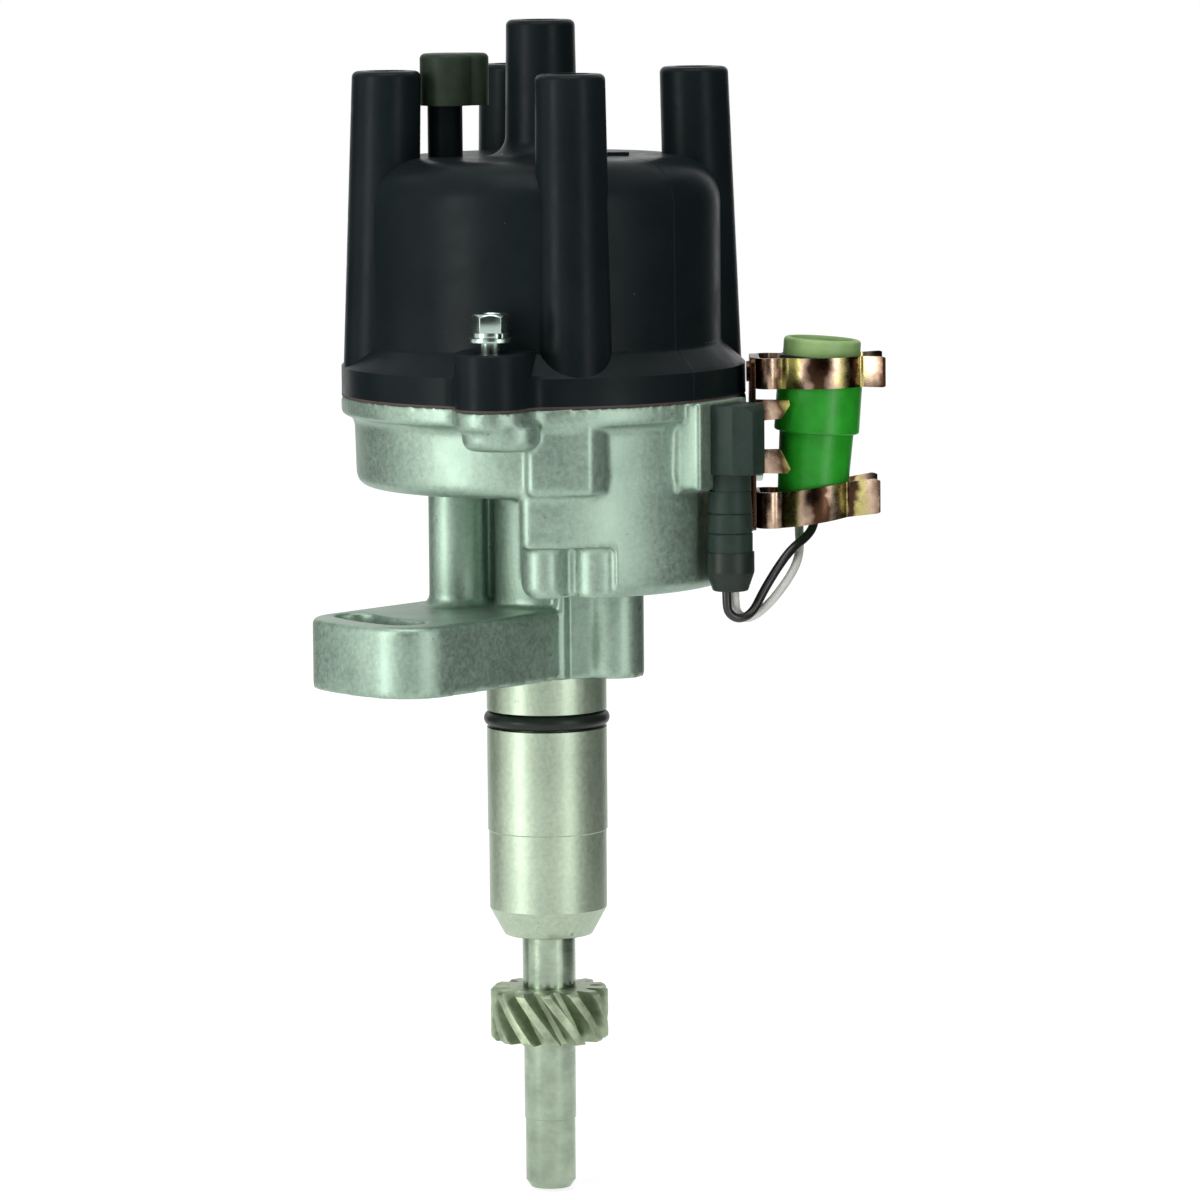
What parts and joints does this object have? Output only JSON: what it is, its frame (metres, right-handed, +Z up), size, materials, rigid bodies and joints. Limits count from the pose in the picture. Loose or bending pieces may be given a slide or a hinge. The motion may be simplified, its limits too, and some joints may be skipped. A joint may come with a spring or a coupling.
{
  "type": "ignition distributor",
  "caption": "Four-cylinder electronic ignition distributor: cast housing with slotted foot and helical gear, tall five-tower cap, centrifugal advance and magnetic pick-up inside.",
  "frame": {"origin": "on the shaft axis, in the plane of the foot's underside, where the distributor seats on the engine", "axes": "+Z up along the shaft towards the cap, +X towards the wire connector, -Y towards the cap screw in front"},
  "size_m": [0.1272, 0.1084, 0.2637],
  "materials": {
    "cast_aluminium": "as-cast, lightly grained, machined bright on the lip",
    "rubber_black": "satin black rubber",
    "gasket_brown": "thin brown sheet",
    "bush_bronze": "porous bronze",
    "shaft_steel": "ground",
    "gear_steel": "dull, machined",
    "plate_steel": "pressed and zinc plated",
    "spring_steel": "drawn wire and stamped rings",
    "rotor_plastic": "moulded phenolic",
    "brass_contact": "plain brass",
    "zinc_bright": "bright zinc",
    "coil_plastic": "moulded bobbin",
    "magnet_grey": "sintered magnet",
    "cap_plastic": "satin blue-black moulding",
    "carbon": "pressed carbon",
    "vent_olive": "dull olive moulding",
    "grommet_slate": "firm dark slate rubber",
    "wire_black": "smooth insulation",
    "wire_white": "smooth insulation",
    "yellow_zinc": "iridescent yellow zinc",
    "connector_green": "bright green moulding",
    "collar_olive": "olive green moulding"
  },
  "bodies": {
    "housing_and_cap": {"housing": "cast_aluminium", "lower_chamber": "cast_aluminium", "spigot": "cast_aluminium", "clamp_foot": "cast_aluminium", "spigot_o_ring": "rubber_black", "upper_bush": "bush_bronze", "lower_bush": "bush_bronze", "upper_thrust_washer": "spring_steel", "pickup_plate": "plate_steel", "plate_screws": "zinc_bright", "pickup_core": "gear_steel", "pickup_coil": "coil_plastic", "pickup_magnet": "magnet_grey", "pickup_screws": "zinc_bright", "cap": "cap_plastic", "cap_gasket": "gasket_brown", "tower_terminals": "brass_contact", "centre_terminal": "brass_contact", "brush_spring": "spring_steel", "cap_screws": "zinc_bright", "cap_spring_washers": "zinc_bright", "cap_plain_washers": "zinc_bright", "vent_cover": "vent_olive", "lead_grommet": "grommet_slate", "lead_boot": "grommet_slate", "boot_sleeve": "rubber_black", "black_wire": "wire_black", "white_wire": "wire_white", "clip_bracket": "yellow_zinc", "bracket_screw": "zinc_bright", "upper_clip": "yellow_zinc", "lower_clip": "yellow_zinc", "clip_rivets": "yellow_zinc", "connector_body": "connector_green", "connector_seal": "rubber_black", "connector_collar": "collar_olive", "connector_pins": "brass_contact"},
    "drive_shaft": {"main_shaft": "shaft_steel", "drive_gear": "gear_steel", "gear_pin": "shaft_steel", "lower_thrust_washer": "spring_steel", "shaft_snap_ring": "spring_steel", "spindle_snap_ring": "spring_steel", "governor_plate": "plate_steel", "weight_pins": "shaft_steel", "weight_springs": "spring_steel"},
    "weight_a": {"weight_a": "gear_steel"},
    "weight_b": {"weight_b": "gear_steel"},
    "timing_rotor": {"signal_shaft": "plate_steel", "spring_posts": "shaft_steel", "signal_rotor": "gear_steel", "rotor_arm": "rotor_plastic", "rotor_electrode": "brass_contact"},
    "brush": {"carbon_brush": "carbon"}
  },
  "joints": [
    {"name": "shaft_spin", "type": "hinge", "parent": "housing_and_cap", "child": "drive_shaft", "pos_m": [0, 0, 0], "axis": [0, 0, 1], "continuous": true},
    {"name": "weight_a_swing", "type": "hinge", "parent": "drive_shaft", "child": "weight_a", "pos_m": [0.01631, 0.00761, 0.0528], "axis": [0, 0, -1], "range_deg": [0, 12], "stiffness_Nm_per_rad": 0.05, "springref_deg": -5.73},
    {"name": "weight_b_swing", "type": "hinge", "parent": "drive_shaft", "child": "weight_b", "pos_m": [-0.01631, -0.00761, 0.0528], "axis": [0, 0, -1], "range_deg": [0, 12]},
    {"name": "rotor_advance", "type": "hinge", "parent": "drive_shaft", "child": "timing_rotor", "pos_m": [0, 0, 0.07], "axis": [0, 0, -1], "range_deg": [0, 11.1], "deforming": ["weight_springs"]},
    {"name": "brush_slide", "type": "slide", "parent": "housing_and_cap", "child": "brush", "axis": [0, 0, 1], "range_m": [0, 0.003], "stiffness_N_per_m": 40, "springref_m": -0.012, "deforming": ["brush_spring"]}
  ],
  "couplings": [
    {"joint": "weight_b_swing", "follows": "weight_a_swing", "ratio": 1},
    {"joint": "rotor_advance", "follows": "weight_a_swing", "ratio": 0.92}
  ]
}
